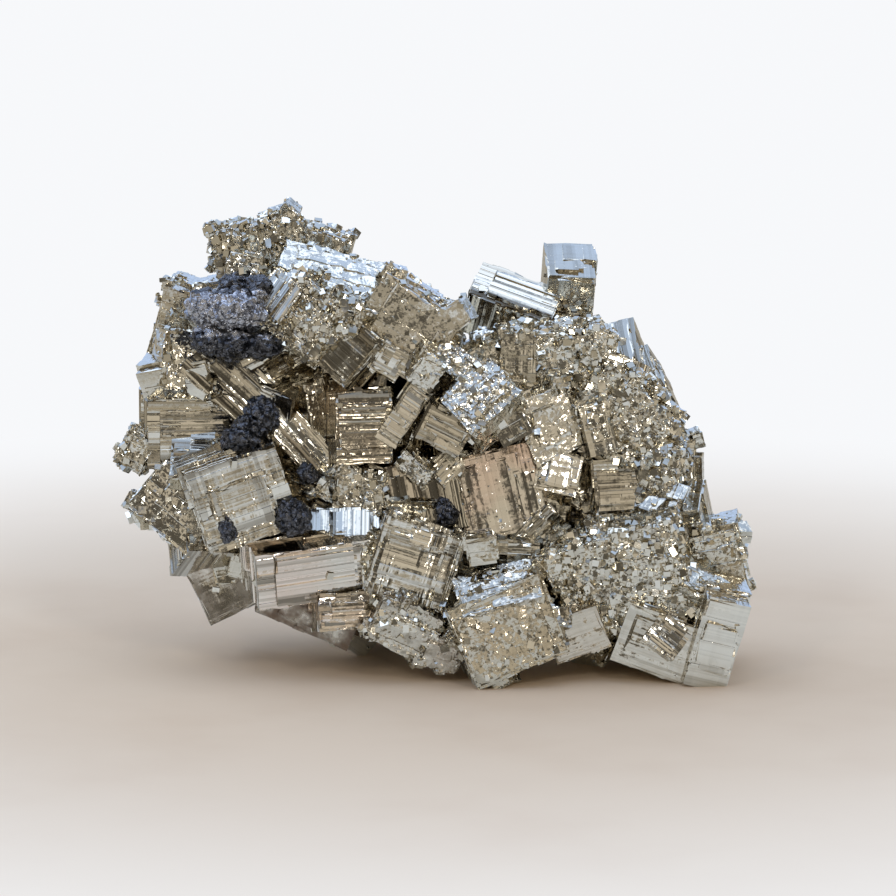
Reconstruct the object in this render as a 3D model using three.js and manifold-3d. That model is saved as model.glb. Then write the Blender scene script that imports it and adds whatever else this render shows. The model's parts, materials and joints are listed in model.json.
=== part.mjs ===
// A palm-sized cluster of intergrown striated pyrite cubes, with grains of a dark mineral grown into it.
// Millimetres, +Z up. The origin is at the middle of the base, on the surface that the cluster stands on.
import * as THREE from "three";
import { mergeVertices } from "three/addons/utils/BufferGeometryUtils.js";
import Module from "manifold-3d";

const wasm = await Module();
wasm.setup();

// The crystals were measured in a frame that is tipped forward by this much, +Y away and +Z up.
const MEASURING_TILT = 10;
// The middle of the base in that frame once it is level again: right, back and up.
const BASE_MIDDLE = [-1.511, 6.945, -21.1];

const LEDGE_RISE = 0.35; // how far a growth plate stands above the face below it
const GRAIN_SIZE = 1.5; // the coarse grains of a druse
const DRUSE_AREA = 16; // square millimetres of druse to each coarse grain
const WELD = 0.01; // points nearer than this to one face or edge are merged into it
const SEAT_GAP = 0.3; // the play between a dark grain and its seat in the pyrite

// Each row is a crystal: its name, the middle of its front face [right, back, up], its size
// [width, depth, height], its turn in degrees [yaw, pitch, roll] and the skin of its faces.
const FRONT_CRYSTALS = [
  ["middle_cube", [-7.8, 0, 1.9], [5.6, 6, 6.9], [18, 3, -1], "striated"],
  ["middle_ridge", [-4.2, 0.2, 3.0], [2.4, 5, 6.2], [10, 0, 34], "striated"],
  ["striped_cube", [-0.3, -1.5, 1.5], [4.8, 5, 3.6], [8, 5, 27], "striated"],
  ["bright_rhomb", [3.0, -2.5, 5.0], [6.2, 6, 5.2], [5, -20, -43], "bright"],
  ["pale_cube", [5.7, 0.3, 2.6], [3.4, 5, 4.2], [-8, 0, -28], "plain"],
  ["ragged_ball", [9.6, 1.5, 2.2], [5.0, 5, 6.4], [10, 10, -20], "speckled"],
  ["ragged_ball_foot", [10.4, 2.0, -2.3], [4.2, 4, 4.0], [0, -12, 12], "plain"],
  ["right_block", [9.6, 3.0, 6.8], [9.6, 10, 8.0], [-4, 11, -2], "druse"],
  ["right_block_left", [6.6, 2.3, 8.5], [3.4, 5, 4.6], [0, 4, 1], "plain"],
  ["horn_left", [6.6, 9.5, 15.0], [8.4, 6, 4.6], [-6, -40, 24], "striated"],
  ["horn_right", [11.7, 10.5, 14.1], [4.7, 7, 5.2], [4, 30, 4], "plain"],
  ["horn_stem", [9.2, 11.0, 10.4], [8.4, 7, 5.0], [0, 8, -4], "plain"],
  ["right_shoulder", [15.9, 7.4, 8.7], [8.2, 6, 4.8], [-34, 8, 76], "striated"],
  ["right_shoulder_lump", [18.2, 8.8, 7.2], [5.6, 5, 3.6], [-32, 8, 66], "striated"],
  ["right_slope", [16.1, 2.2, 2.6], [8.8, 8, 7.4], [0, 8, 42], "druse"],
  ["right_slope_face", [14.2, 1.1, 1.7], [2.9, 4, 4.7], [10, 0, -14], "plain"],
  ["right_column", [19.4, 1.2, -3.6], [3.6, 6, 7.0], [-20, 0, 4], "druse"],
  ["right_lines", [16.1, 2.4, -3.7], [4.6, 6, 5.6], [0, 0, -3], "striated"],
  ["right_outlier", [22.1, 6.4, -3.5], [5.6, 6, 3.4], [2, 6, 92], "striated"],
  ["warm_face", [4.9, 2.2, -4.6], [9.0, 5, 8.0], [-6, 0, 77], "striated"],
  ["olive_face", [-2.2, 1.5, -4.6], [7.2, 5, 7.2], [-4, 6, 78], "striated"],
  ["small_facet", [0.0, 0.4, -1.9], [3.2, 3, 2.4], [10, 10, -40], "striated"],
  ["small_ridge", [-3.2, 0.2, -1.9], [3.6, 3, 2.0], [0, 20, 38], "rough"],
  ["crosshatch_cube", [-3.1, -3.2, -10.9], [8.0, 7, 7.4], [6, 6, 18], "crossed"],
  ["crosshatch_side", [-6.2, -1.8, -13.2], [3.4, 5, 9.6], [20, 10, -6], "speckled"],
  ["flat_slab", [-12.4, -3.2, -11.9], [11.0, 8, 5.8], [13, 19, -4], "striated"],
  ["slab_lower", [-9.4, -2.8, -15.2], [5.6, 7, 3.6], [13, 0, -3], "striated"],
  ["slab_underside", [-12.9, 0.5, -15.2], [9.6, 8, 4.6], [5, 8, 24], "plain"],
  ["slab_shelf", [-9.7, -0.6, -7.4], [4.6, 4, 6.6], [-36, 0, 90], "striated"],
  ["left_cube", [-19.0, -4.2, -4.9], [9.0, 8, 8.2], [6, 14, -18], "crossed"],
  ["left_terrace", [-24.6, 3.4, 1.3], [8.0, 8, 6.8], [6, 8, 0], "striated"],
  ["left_tip", [-29.6, 3.6, -0.4], [3.2, 5, 3.6], [0, 8, 32], "rough"],
  ["left_flank", [-25.4, 2.4, -5.5], [8.2, 9, 6.2], [-8, -4, 40], "speckled"],
  ["left_underside", [-21.2, 5.0, -12.4], [6.4, 7, 7.0], [-10, 0, -26], "plain"],
  ["left_wing", [-26.0, 8.5, 11.2], [4.4, 7, 8.0], [0, 14, 16], "speckled"],
  ["left_wing_top", [-23.6, 8.0, 12.8], [5.0, 7, 4.0], [0, 14, -10], "speckled"],
  ["wedge_face", [-20.4, 2.4, 6.4], [9.0, 7, 5.6], [-4, -2, 43], "striated"],
  ["wedge_cheek", [-24.8, 3.0, 8.0], [3.6, 5, 5.2], [20, 4, 8], "speckled"],
  ["diagonal_bar", [-13.6, 1.6, 0.4], [9.4, 5, 3.6], [0, -12, 48], "striated"],
  ["recess_cube", [-12.8, 3.8, 2.4], [5.0, 4, 5.4], [-14, 0, 2], "plain"],
  ["rough_hollow", [-9.6, 1.0, -3.9], [5.0, 4, 4.4], [10, 0, 38], "rough"],
  ["hollow_stud", [-7.2, 0.6, -4.4], [2.4, 3, 4.0], [-10, 0, 4], "rough"],
  ["sparkle_cube", [-13.3, -1.0, 12.0], [6.8, 8, 6.4], [-4, 8, 39], "druse"],
  ["sparkle_stripes", [-9.4, -0.8, 9.1], [4.6, 7, 5.8], [-12, 4, 41], "striated"],
  ["blue_stripes", [-16.2, -0.2, 14.3], [4.3, 5, 4.4], [0, -36, -55], "striated"],
  ["roof_slab", [-10.9, 3.3, 16.3], [10.6, 7, 8.2], [-4, -52, 17], "roof"],
  ["rough_gable", [-4.2, 0.8, 11.0], [8.8, 8, 7.6], [2, 8, 33], "speckled"],
  ["gable_lump", [0.1, 3.0, 12.5], [1.9, 3, 2.0], [10, 10, 20], "rough"],
  ["gable_foot", [-5.8, -0.2, 8.3], [3.8, 4, 3.4], [8, 6, 30], "striated"],
  ["bright_lump", [-2.0, -1.6, 7.0], [2.8, 4, 3.4], [16, 18, 38], "bright"],
  ["peak_left", [-19.6, 8.0, 19.0], [5.2, 6, 4.6], [4, 5, -10], "druse"],
  ["peak_middle", [-15.8, 9.0, 19.9], [4.4, 6, 4.6], [0, 6, -24], "rough"],
  ["peak_right", [-12.4, 9.0, 18.6], [4.2, 7, 4.2], [-4, 8, 20], "rough"],
  ["peak_neck", [-19.4, 6.2, 16.6], [3.8, 7, 4.0], [0, 0, 8], "rough"],
  ["near_cube", [5.6, -5.6, -17.0], [9.4, 9, 8.0], [5, 6, -22], "plain"],
  ["near_cube_cap", [4.5, -5.0, -12.9], [7.6, 5, 4.8], [4, -38, -18], "bright"],
  ["near_left_plates", [-4.0, -3.8, -16.9], [6.6, 7, 4.8], [10, 10, 26], "rough"],
  ["near_left_foot", [-0.9, -3.2, -19.1], [4.6, 6, 3.4], [5, 14, 14], "rough"],
  ["small_post", [6.5, -1.4, -10.3], [4.0, 4, 3.4], [0, 5, 4], "striated"],
  ["slant_bar", [8.4, 1.0, -7.8], [5.2, 4, 2.6], [0, 10, -42], "striated"],
  ["cap_stud", [3.2, -4.6, -9.6], [3.0, 3, 2.6], [0, 12, -8], "plain"],
  ["saddle_block", [12.0, -3.2, -17.4], [5.4, 6, 4.4], [0, 12, -20], "plain"],
  ["druse_block", [16.2, -3.0, -12.6], [12.4, 10, 9.4], [-8, 10, -17], "druse"],
  ["corner_cube_top", [25.2, 0.6, -11.2], [5.2, 7, 6.6], [-6, 12, -15], "speckled"],
  ["corner_band", [24.5, -2.8, -12.9], [5.8, 5, 3.2], [4, -44, 22], "roof"],
  ["corner_cube", [24.9, -5.4, -18.3], [4.3, 10, 8.8], [10, 16, 16], "plain"],
  ["corner_cube_foot", [19.7, -3.6, -18.4], [8.0, 8, 5.8], [0, 10, 20], "plain"],
  ["corner_facet", [20.4, -4.4, -17.5], [3.6, 3, 3.6], [0, -14, 38], "striated"],
];

// The rest of the cluster is grown by rule. Each row is a mass: its middle [right, back, up], its
// radii, the number of crystals on it, and their smallest and largest size.
const BACK_MASSES = [
  [[-14.5, 10, 4], [9.5, 7.5, 10], 20, 5.5, 9.5],
  [[13, 9, -3.5], [7.5, 6, 9], 13, 5.0, 9.0],
  [[0, 8, -6], [9, 6, 8], 10, 5.5, 9.5],
  [[17, 5, -13], [7, 5, 4.5], 6, 4.5, 8.0],
];

// Crystals that fill the gaps between those at the front, in the same way: each row is a sheet, its
// middle, how far it spreads each way, the number of crystals on it and their sizes.
const FRONT_FILL = [
  [[-20, 7.0, 3], [6, 0.9, 8], 6, 6.0, 8.0],
  [[-3, 6.4, 3], [8, 0.9, 6], 5, 5.0, 7.0],
  [[-14, 5.6, -8], [8, 0.9, 5], 5, 5.0, 7.0],
  [[3, 6.6, -9], [8, 0.9, 6], 5, 5.0, 7.5],
  [[14, 7.0, 1], [5, 0.9, 6], 4, 4.5, 7.0],
  [[17, 4.4, -15], [7, 0.9, 2.5], 4, 4.5, 6.0],
];

// Solid matter behind the crystals that hides no gap between them: middle, size and turn.
const CORE_BLOCKS = [
  [[-14, 11, 3], [16, 12, 18], [0, 0, 12]],
  [[-16, 9.5, -7], [14, 10, 10], [0, 0, -10]],
  [[-3, 9.5, 3], [14, 9, 12], [0, 0, 20]],
  [[1, 9.5, -9], [18, 10, 13], [0, 0, -8]],
  [[13, 10, -1], [11, 10, 15], [0, 0, 6]],
  [[16, 6.5, -14], [12, 9, 9], [0, 0, -12]],
];

// Crystals under the back that the cluster stands on: middle [right, back, up], size and turn.
const FEET = [
  [[-8.6, 9.8, -15.9], [5.0, 5.0, 5.4], [20, 14, 42]],
  [[-6.2, 15.0, -13.7], [7.0, 7.0, 8.6], [20, 20, 14]],
  [[15.0, 12.6, -14.7], [6.4, 7.0, 8.0], [-18, 22, 14]],
];

// Grains of the dark mineral: name, and the lumps of each, as middle and radii.
const DARK_GRAINS = [
  ["dark_crust", [
    [[-22.5, 0.8, 13.1], [1.9, 1.9, 1.7]],
    [[-20.1, 0.1, 13.1], [2.2, 2.0, 1.8]],
    [[-18.4, 0.5, 12.6], [1.6, 1.8, 1.5]],
    [[-17.9, 1.0, 14.8], [1.4, 1.6, 1.3]],
    [[-20.2, 1.8, 15.3], [1.3, 1.5, 1.0]],
    [[-22.4, 1.0, 10.2], [1.6, 1.8, 1.3]],
    [[-20.1, 0.6, 9.7], [2.0, 1.9, 1.3]],
    [[-17.4, 0.5, 9.6], [1.9, 1.9, 1.1]],
  ]],
  ["dark_nodule_middle", [
    [[-17.4, -0.7, 3.1], [1.5, 1.8, 1.6]],
    [[-18.4, -1.3, 1.9], [1.4, 1.8, 1.2]],
    [[-19.3, -1.7, 0.7], [1.8, 1.8, 1.1]],
  ]],
  ["dark_nodule_lower", [[[-14.4, -3.0, -6.5], [1.6, 1.7, 1.6]]]],
  ["dark_grain_left", [[[-20.5, -3.6, -7.5], [0.7, 1.3, 1.2]]]],
  ["dark_grain_centre", [[[-13.3, 0.6, -2.4], [0.8, 1.2, 0.8]]]],
  ["dark_grain_right", [[[-0.2, 0.8, -6.1], [0.9, 1.3, 1.1]]]],
];

const PYRITE = new THREE.MeshStandardMaterial({ color: 0xb3a47e, roughness: 0.28, metalness: 1, flatShading: true });
const DARK_MINERAL = new THREE.MeshStandardMaterial({ color: 0x2e2d31, roughness: 0.6, flatShading: true });

// A number from 0 to 1 that is always the same for the same two whole numbers.
function vary(index, use) {
  const long = (index + 1) * 0.6180339887 + (use + 1) * 0.7548776662 * (index % 7 + 1);
  return long - Math.floor(long);
}

function mix(low, high, share) {
  return low + (high - low) * share;
}

// The turn from a crystal's own axes to the measuring frame.
function placed(at, [yaw, pitch, roll]) {
  const radians = [pitch, roll, yaw].map(THREE.MathUtils.degToRad);
  const turn = new THREE.Euler(...radians, "YXZ");
  return new THREE.Matrix4().makeRotationFromEuler(turn).setPosition(...at);
}

// The turn and shift from the measuring frame to the part's own frame.
const STAND = new THREE.Matrix4()
  .makeTranslation(-BASE_MIDDLE[0], -BASE_MIDDLE[1], -BASE_MIDDLE[2])
  .multiply(new THREE.Matrix4().makeRotationX(THREE.MathUtils.degToRad(-MEASURING_TILT)));

// A three.js geometry, placed, as a solid that can be joined and cut.
function solidOf(geometry, matrix) {
  const bare = geometry.clone();
  bare.deleteAttribute("normal");
  bare.deleteAttribute("uv");
  bare.applyMatrix4(matrix);
  const merged = mergeVertices(bare, 1e-4);
  return new wasm.Manifold(
    new wasm.Mesh({
      numProp: 3,
      vertProperties: Float32Array.from(merged.attributes.position.array),
      triVerts: Uint32Array.from(merged.index.array),
    }),
  );
}

// A box in a crystal's own axes, given by its lowest and highest corner.
function block(low, high, matrix) {
  const size = high.map((value, axis) => value - low[axis]);
  const middle = high.map((value, axis) => (value + low[axis]) / 2);
  const geometry = new THREE.BoxGeometry(...size).translate(...middle);
  return solidOf(geometry, matrix);
}

// A crystal is a block with two growth plates: one on its front, one over its top and one side.
function crystal(index, at, [width, depth, height], turn, fronted) {
  const matrix = STAND.clone().multiply(placed(at, turn));
  const rise = Math.min(LEDGE_RISE, 0.08 * Math.min(width, height));
  const left = mix(-0.5, -0.25, vary(index, 1)) * width;
  const right = mix(0.25, 0.5, vary(index, 2)) * width;
  const foot = mix(-0.5, -0.2, vary(index, 3)) * height;
  const crown = mix(0.2, 0.5, vary(index, 4)) * height;
  const inner = mix(0.15, 0.45, vary(index, 5)) * depth;
  const side = vary(index, 6) < 0.5 ? -1 : 1;
  const reach = [-0.36 * width, 0.36 * width].map((edge) => edge + side * (0.14 * width + rise));
  const body = block([-width / 2, 0, -height / 2], [width / 2, depth, height / 2], matrix);
  const face = block([left, -rise, foot], [right, depth / 2, crown], matrix);
  const cap = block([reach[0], inner, 0], [reach[1], depth * 0.9, height / 2 + rise], matrix);
  return fronted ? [body, face, cap] : [body, cap];
}

// The coarse grains of a druse stand half sunk in the front and the top of their crystal.
function druse(index, at, [width, depth, height], turn) {
  const matrix = STAND.clone().multiply(placed(at, turn));
  const count = Math.round((width * height) / DRUSE_AREA);
  const grains = [];
  for (let n = 0; n < count; n++) {
    const key = index * 31 + n;
    const spot = [
      mix(-0.46, 0.46, vary(key, 1)) * width,
      mix(-0.1, 0.25, vary(key, 2)),
      mix(-0.46, 0.46, vary(key, 3)) * height,
    ];
    const half = (GRAIN_SIZE / 2) * mix(0.6, 1, vary(key, 4));
    const turned = placed(spot, [vary(key, 5) * 90, vary(key, 6) * 90, vary(key, 7) * 90]);
    grains.push(block([-half, -half, -half], [half, half, half], matrix.clone().multiply(turned)));
  }
  return grains;
}

// Crystals by rule, spread evenly over the back half of a mass.
function grownCrystals() {
  const rows = [];
  BACK_MASSES.forEach(([middle, radii, count, small, large], mass) => {
    for (let n = 0; n < count; n++) {
      const key = mass * 40 + n;
      const height = 1 - (2 * (n + 0.5)) / count;
      const round = Math.sqrt(1 - height * height);
      const angle = Math.PI * mix(0.02, 0.98, (n * 0.6180339887) % 1);
      const way = [Math.cos(angle) * round, Math.sin(angle) * round, height];
      const at = middle.map((value, axis) => value + way[axis] * radii[axis]);
      const size = [1, 2, 3].map((use) => mix(small, large, vary(key, use)));
      const turn = [4, 5, 6].map((use) => mix(-45, 45, vary(key, use)));
      rows.push([at, size, turn]);
    }
  });
  return rows;
}

// A rounded lump with flat facets, for the dark mineral.
function lump([middle, radii], extra) {
  const scale = new THREE.Vector3(...radii).addScalar(extra);
  const matrix = STAND.clone()
    .multiply(new THREE.Matrix4().makeTranslation(...middle))
    .multiply(new THREE.Matrix4().makeScale(scale.x, scale.y, scale.z));
  return solidOf(new THREE.IcosahedronGeometry(1, 1), matrix);
}

function joined(solids) {
  return wasm.Manifold.union(solids);
}

// The one connected outer skin of a solid, without pockets sealed inside it.
function outerSkin(solid) {
  return solid.decompose().sort((one, other) => other.volume() - one.volume())[0];
}

function meshOf(name, solid, material) {
  const { numProp, vertProperties, triVerts } = solid.getMesh();
  const points = new Float32Array((vertProperties.length / numProp) * 3);
  for (let i = 0; i < points.length / 3; i++) {
    points.set(vertProperties.subarray(i * numProp, i * numProp + 3), i * 3);
  }
  const geometry = new THREE.BufferGeometry();
  geometry.setAttribute("position", new THREE.BufferAttribute(points, 3));
  geometry.setIndex(new THREE.BufferAttribute(triVerts, 1));
  geometry.computeVertexNormals();
  const mesh = new THREE.Mesh(geometry, material);
  mesh.name = name;
  return mesh;
}

// Crystals by rule, spread evenly over each sheet behind the front.
function fillCrystals() {
  const rows = [];
  FRONT_FILL.forEach(([middle, spread, count, small, large], sheet) => {
    for (let n = 0; n < count; n++) {
      const key = 200 + sheet * 20 + n;
      const reach = Math.sqrt((n + 0.5) / count);
      const angle = 2 * Math.PI * ((n * 0.6180339887) % 1);
      const way = [Math.cos(angle) * reach, mix(-1, 1, vary(key, 7)), Math.sin(angle) * reach];
      const at = middle.map((value, axis) => value + way[axis] * spread[axis]);
      const size = [1, 2, 3].map((use) => mix(small, large, vary(key, use)));
      const turn = [4, 5, 6].map((use) => mix(-35, 35, vary(key, use)));
      rows.push([at, size, turn]);
    }
  });
  return rows;
}

function pyriteCluster() {
  const pieces = [];
  FRONT_CRYSTALS.forEach(([, at, size, turn, skin], index) => {
    pieces.push(...crystal(index, at, size, turn, skin !== "druse"));
    if (skin === "druse") pieces.push(...druse(index, at, size, turn));
  });
  [...grownCrystals(), ...fillCrystals()].forEach(([at, size, turn], n) => {
    const front = at.map((value, axis) => (axis === 1 ? value - size[1] / 2 : value));
    pieces.push(...crystal(FRONT_CRYSTALS.length + n, front, size, turn, false));
  });
  for (const [middle, size, turn] of [...CORE_BLOCKS, ...FEET]) {
    const half = size.map((value) => value / 2);
    const matrix = STAND.clone().multiply(placed(middle, turn));
    pieces.push(block(half.map((value) => -value), half, matrix));
  }
  const seats = DARK_GRAINS.flatMap(([, lumps]) => lumps.map((one) => lump(one, SEAT_GAP)));
  const underground = block([-100, -100, -100], [100, 100, 0], new THREE.Matrix4());
  const skin = outerSkin(joined(pieces).subtract(joined([...seats, underground])));
  return outerSkin(skin.asOriginal().simplify(WELD));
}

const cluster = new THREE.Group();
cluster.add(meshOf("pyrite_cluster", pyriteCluster(), PYRITE));
for (const [name, lumps] of DARK_GRAINS) {
  const grain = joined(lumps.map((one) => lump(one, 0)));
  cluster.add(meshOf(name, grain, DARK_MINERAL));
}

export default cluster;
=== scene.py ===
"""A cluster of intergrown striated pyrite cubes, dressed for the camera in the CAD model's frame.

Crystals are measured in millimetres in a frame that is tipped forward by the camera's angle, and
everything made here is in metres in the part's own frame.
"""
import bisect
import json
import math
import random

import bmesh
import bpy
from mathutils import Euler, Matrix, Vector, noise
from mathutils.bvhtree import BVHTree

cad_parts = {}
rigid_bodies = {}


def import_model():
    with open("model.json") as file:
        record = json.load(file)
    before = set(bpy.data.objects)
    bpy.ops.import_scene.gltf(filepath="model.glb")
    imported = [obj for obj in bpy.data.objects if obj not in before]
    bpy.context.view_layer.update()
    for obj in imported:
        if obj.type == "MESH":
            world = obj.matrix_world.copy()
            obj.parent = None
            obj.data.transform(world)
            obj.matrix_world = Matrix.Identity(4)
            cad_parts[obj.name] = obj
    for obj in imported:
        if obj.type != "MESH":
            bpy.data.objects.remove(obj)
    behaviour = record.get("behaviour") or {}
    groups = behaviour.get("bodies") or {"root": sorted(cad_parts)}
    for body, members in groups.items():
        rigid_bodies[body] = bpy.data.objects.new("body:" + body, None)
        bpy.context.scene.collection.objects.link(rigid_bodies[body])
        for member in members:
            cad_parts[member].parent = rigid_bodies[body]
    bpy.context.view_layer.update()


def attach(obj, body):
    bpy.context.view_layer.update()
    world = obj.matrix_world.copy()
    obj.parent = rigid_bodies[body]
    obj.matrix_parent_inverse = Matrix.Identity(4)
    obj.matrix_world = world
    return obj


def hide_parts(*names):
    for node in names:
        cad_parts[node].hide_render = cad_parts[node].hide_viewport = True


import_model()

bl_info = {
    "name": "Pyrite crystal cluster",
    "version": (1, 0, 0),
    "blender": (4, 5, 0),
    "location": "View3D > Sidebar > Pyrite",
    "description": "Grows a cluster of striated pyrite cubes with grains of a dark mineral",
    "category": "Object",
}

MM = 0.001

# The measuring frame: its forward tilt in degrees, and the middle of the base once it is level.
MEASURING_TILT = 10
BASE_MIDDLE = (-1.511, 6.945, -21.1)

# Each row is a crystal: its name, the middle of its front face [right, back, up], its size
# [width, depth, height], its turn in degrees [yaw, pitch, roll] and the skin of its faces.
FRONT_CRYSTALS = [
    ["middle_cube", [-7.8, 0, 1.9], [5.6, 6, 6.9], [18, 3, -1], "striated"],
    ["middle_ridge", [-4.2, 0.2, 3.0], [2.4, 5, 6.2], [10, 0, 34], "striated"],
    ["striped_cube", [-0.3, -1.5, 1.5], [4.8, 5, 3.6], [8, 5, 27], "striated"],
    ["bright_rhomb", [3.0, -2.5, 5.0], [6.2, 6, 5.2], [5, -20, -43], "bright"],
    ["pale_cube", [5.7, 0.3, 2.6], [3.4, 5, 4.2], [-8, 0, -28], "plain"],
    ["ragged_ball", [9.6, 1.5, 2.2], [5.0, 5, 6.4], [10, 10, -20], "speckled"],
    ["ragged_ball_foot", [10.4, 2.0, -2.3], [4.2, 4, 4.0], [0, -12, 12], "plain"],
    ["right_block", [9.6, 3.0, 6.8], [9.6, 10, 8.0], [-4, 11, -2], "druse"],
    ["right_block_left", [6.6, 2.3, 8.5], [3.4, 5, 4.6], [0, 4, 1], "soft"],
    ["horn_left", [6.6, 9.5, 15.0], [8.4, 6, 4.6], [-6, -40, 24], "striated"],
    ["horn_right", [11.7, 10.5, 14.1], [4.7, 7, 5.2], [4, 30, 4], "plain"],
    ["horn_stem", [9.2, 11.0, 10.4], [8.4, 7, 5.0], [0, 8, -4], "plain"],
    ["right_shoulder", [15.9, 7.4, 8.7], [8.2, 6, 4.8], [-34, 8, 76], "striated"],
    ["right_shoulder_lump", [18.2, 8.8, 7.2], [5.6, 5, 3.6], [-32, 8, 66], "striated"],
    ["right_slope", [16.1, 2.2, 2.6], [8.8, 8, 7.4], [0, 8, 42], "druse"],
    ["right_slope_face", [14.2, 1.1, 1.7], [2.9, 4, 4.7], [10, 0, -14], "plain"],
    ["right_column", [19.4, 1.2, -3.6], [3.6, 6, 7.0], [-20, 0, 4], "druse"],
    ["right_lines", [16.1, 2.4, -3.7], [4.6, 6, 5.6], [0, 0, -3], "striated"],
    ["right_outlier", [22.1, 6.4, -3.5], [5.6, 6, 3.4], [2, 6, 92], "striated"],
    ["warm_face", [4.9, 2.2, -4.6], [9.0, 5, 8.0], [-6, 0, 77], "soft"],
    ["olive_face", [-2.2, 1.5, -4.6], [7.2, 5, 7.2], [-4, 6, 78], "striated"],
    ["small_facet", [0.0, 0.4, -1.9], [3.2, 3, 2.4], [10, 10, -40], "striated"],
    ["small_ridge", [-3.2, 0.2, -1.9], [3.6, 3, 2.0], [0, 20, 38], "rough"],
    ["crosshatch_cube", [-3.1, -3.2, -10.9], [8.0, 7, 7.4], [6, 6, 18], "crossed"],
    ["crosshatch_side", [-6.2, -1.8, -13.2], [3.4, 5, 9.6], [20, 10, -6], "speckled"],
    ["flat_slab", [-12.4, -3.2, -11.9], [11.0, 8, 5.8], [13, 19, -4], "striated"],
    ["slab_lower", [-9.4, -2.8, -15.2], [5.6, 7, 3.6], [13, 0, -3], "striated"],
    ["slab_underside", [-12.9, 0.5, -15.2], [9.6, 8, 4.6], [5, 8, 24], "plain"],
    ["slab_shelf", [-9.7, -0.6, -7.4], [4.6, 4, 6.6], [-36, 0, 90], "striated"],
    ["left_cube", [-19.0, -4.2, -4.9], [9.0, 8, 8.2], [6, 14, -18], "crossed"],
    ["left_terrace", [-24.6, 3.4, 1.3], [8.0, 8, 6.8], [6, 8, 0], "striated"],
    ["left_tip", [-29.6, 3.6, -0.4], [3.2, 5, 3.6], [0, 8, 32], "rough"],
    ["left_flank", [-25.4, 2.4, -5.5], [8.2, 9, 6.2], [-8, -4, 40], "speckled"],
    ["left_underside", [-21.2, 5.0, -12.4], [6.4, 7, 7.0], [-10, 0, -26], "plain"],
    ["left_wing", [-26.0, 8.5, 11.2], [4.4, 7, 8.0], [0, 14, 16], "speckled"],
    ["left_wing_top", [-23.6, 8.0, 12.8], [5.0, 7, 4.0], [0, 14, -10], "speckled"],
    ["wedge_face", [-20.4, 2.4, 6.4], [9.0, 7, 5.6], [-4, -2, 43], "striated"],
    ["wedge_cheek", [-24.8, 3.0, 8.0], [3.6, 5, 5.2], [20, 4, 8], "speckled"],
    ["diagonal_bar", [-13.6, 1.6, 0.4], [9.4, 5, 3.6], [0, -12, 48], "striated"],
    ["recess_cube", [-12.8, 3.8, 2.4], [5.0, 4, 5.4], [-14, 0, 2], "plain"],
    ["rough_hollow", [-9.6, 1.0, -3.9], [5.0, 4, 4.4], [10, 0, 38], "rough"],
    ["hollow_stud", [-7.2, 0.6, -4.4], [2.4, 3, 4.0], [-10, 0, 4], "rough"],
    ["sparkle_cube", [-13.3, -1.0, 12.0], [6.8, 8, 6.4], [-4, 8, 39], "glitter"],
    ["sparkle_stripes", [-9.4, -0.8, 9.1], [4.6, 7, 5.8], [-12, 4, 41], "striated"],
    ["blue_stripes", [-16.2, -0.2, 14.3], [4.3, 5, 4.4], [0, -36, -55], "striated"],
    ["roof_slab", [-10.9, 3.3, 16.3], [10.6, 7, 8.2], [-4, -52, 17], "roof"],
    ["rough_gable", [-4.2, 0.8, 11.0], [8.8, 8, 7.6], [2, 8, 33], "speckled"],
    ["gable_lump", [0.1, 3.0, 12.5], [1.9, 3, 2.0], [10, 10, 20], "rough"],
    ["gable_foot", [-5.8, -0.2, 8.3], [3.8, 4, 3.4], [8, 6, 30], "striated"],
    ["bright_lump", [-2.0, -1.6, 7.0], [2.8, 4, 3.4], [16, 18, 38], "bright"],
    ["peak_left", [-19.6, 8.0, 19.0], [5.2, 6, 4.6], [4, 5, -10], "druse"],
    ["peak_middle", [-15.8, 9.0, 19.9], [4.4, 6, 4.6], [0, 6, -24], "rough"],
    ["peak_right", [-12.4, 9.0, 18.6], [4.2, 7, 4.2], [-4, 8, 20], "rough"],
    ["peak_neck", [-19.4, 6.2, 16.6], [3.8, 7, 4.0], [0, 0, 8], "rough"],
    ["near_cube", [5.6, -5.6, -17.0], [9.4, 9, 8.0], [5, 6, -22], "speckled"],
    ["near_cube_cap", [4.5, -5.0, -12.9], [7.6, 5, 4.8], [4, -38, -18], "bright"],
    ["near_left_plates", [-4.0, -3.8, -16.9], [6.6, 7, 4.8], [10, 10, 26], "rough"],
    ["near_left_foot", [-0.9, -3.2, -19.1], [4.6, 6, 3.4], [5, 14, 14], "rough"],
    ["small_post", [6.5, -1.4, -10.3], [4.0, 4, 3.4], [0, 5, 4], "striated"],
    ["slant_bar", [8.4, 1.0, -7.8], [5.2, 4, 2.6], [0, 10, -42], "striated"],
    ["cap_stud", [3.2, -4.6, -9.6], [3.0, 3, 2.6], [0, 12, -8], "plain"],
    ["saddle_block", [12.0, -3.2, -17.4], [5.4, 6, 4.4], [0, 12, -20], "plain"],
    ["druse_block", [16.2, -3.0, -12.6], [12.4, 10, 9.4], [-8, 10, -17], "druse"],
    ["corner_cube_top", [25.2, 0.6, -11.2], [5.2, 7, 6.6], [-6, 12, -15], "speckled"],
    ["corner_band", [24.5, -2.8, -12.9], [5.8, 5, 3.2], [4, -44, 22], "roof"],
    ["corner_cube", [24.9, -5.4, -18.3], [4.3, 10, 8.8], [10, 16, 16], "plain"],
    ["corner_cube_foot", [19.7, -3.6, -18.4], [8.0, 8, 5.8], [0, 10, 20], "plain"],
    ["corner_facet", [20.4, -4.4, -17.5], [3.6, 3, 3.6], [0, -14, 38], "striated"],
]

# Small crystals of the same kind that close the notch in the top edge.
GAP_CRYSTALS = [
    ("notch_ridge", (0.8, 0.6, 8.2), (4.6, 4, 3.2), (4, -24, 34), "bright"),
    ("notch_wall", (3.4, 3.6, 7.6), (4.4, 4, 4.4), (0, 10, -30), "speckled"),
]

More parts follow.
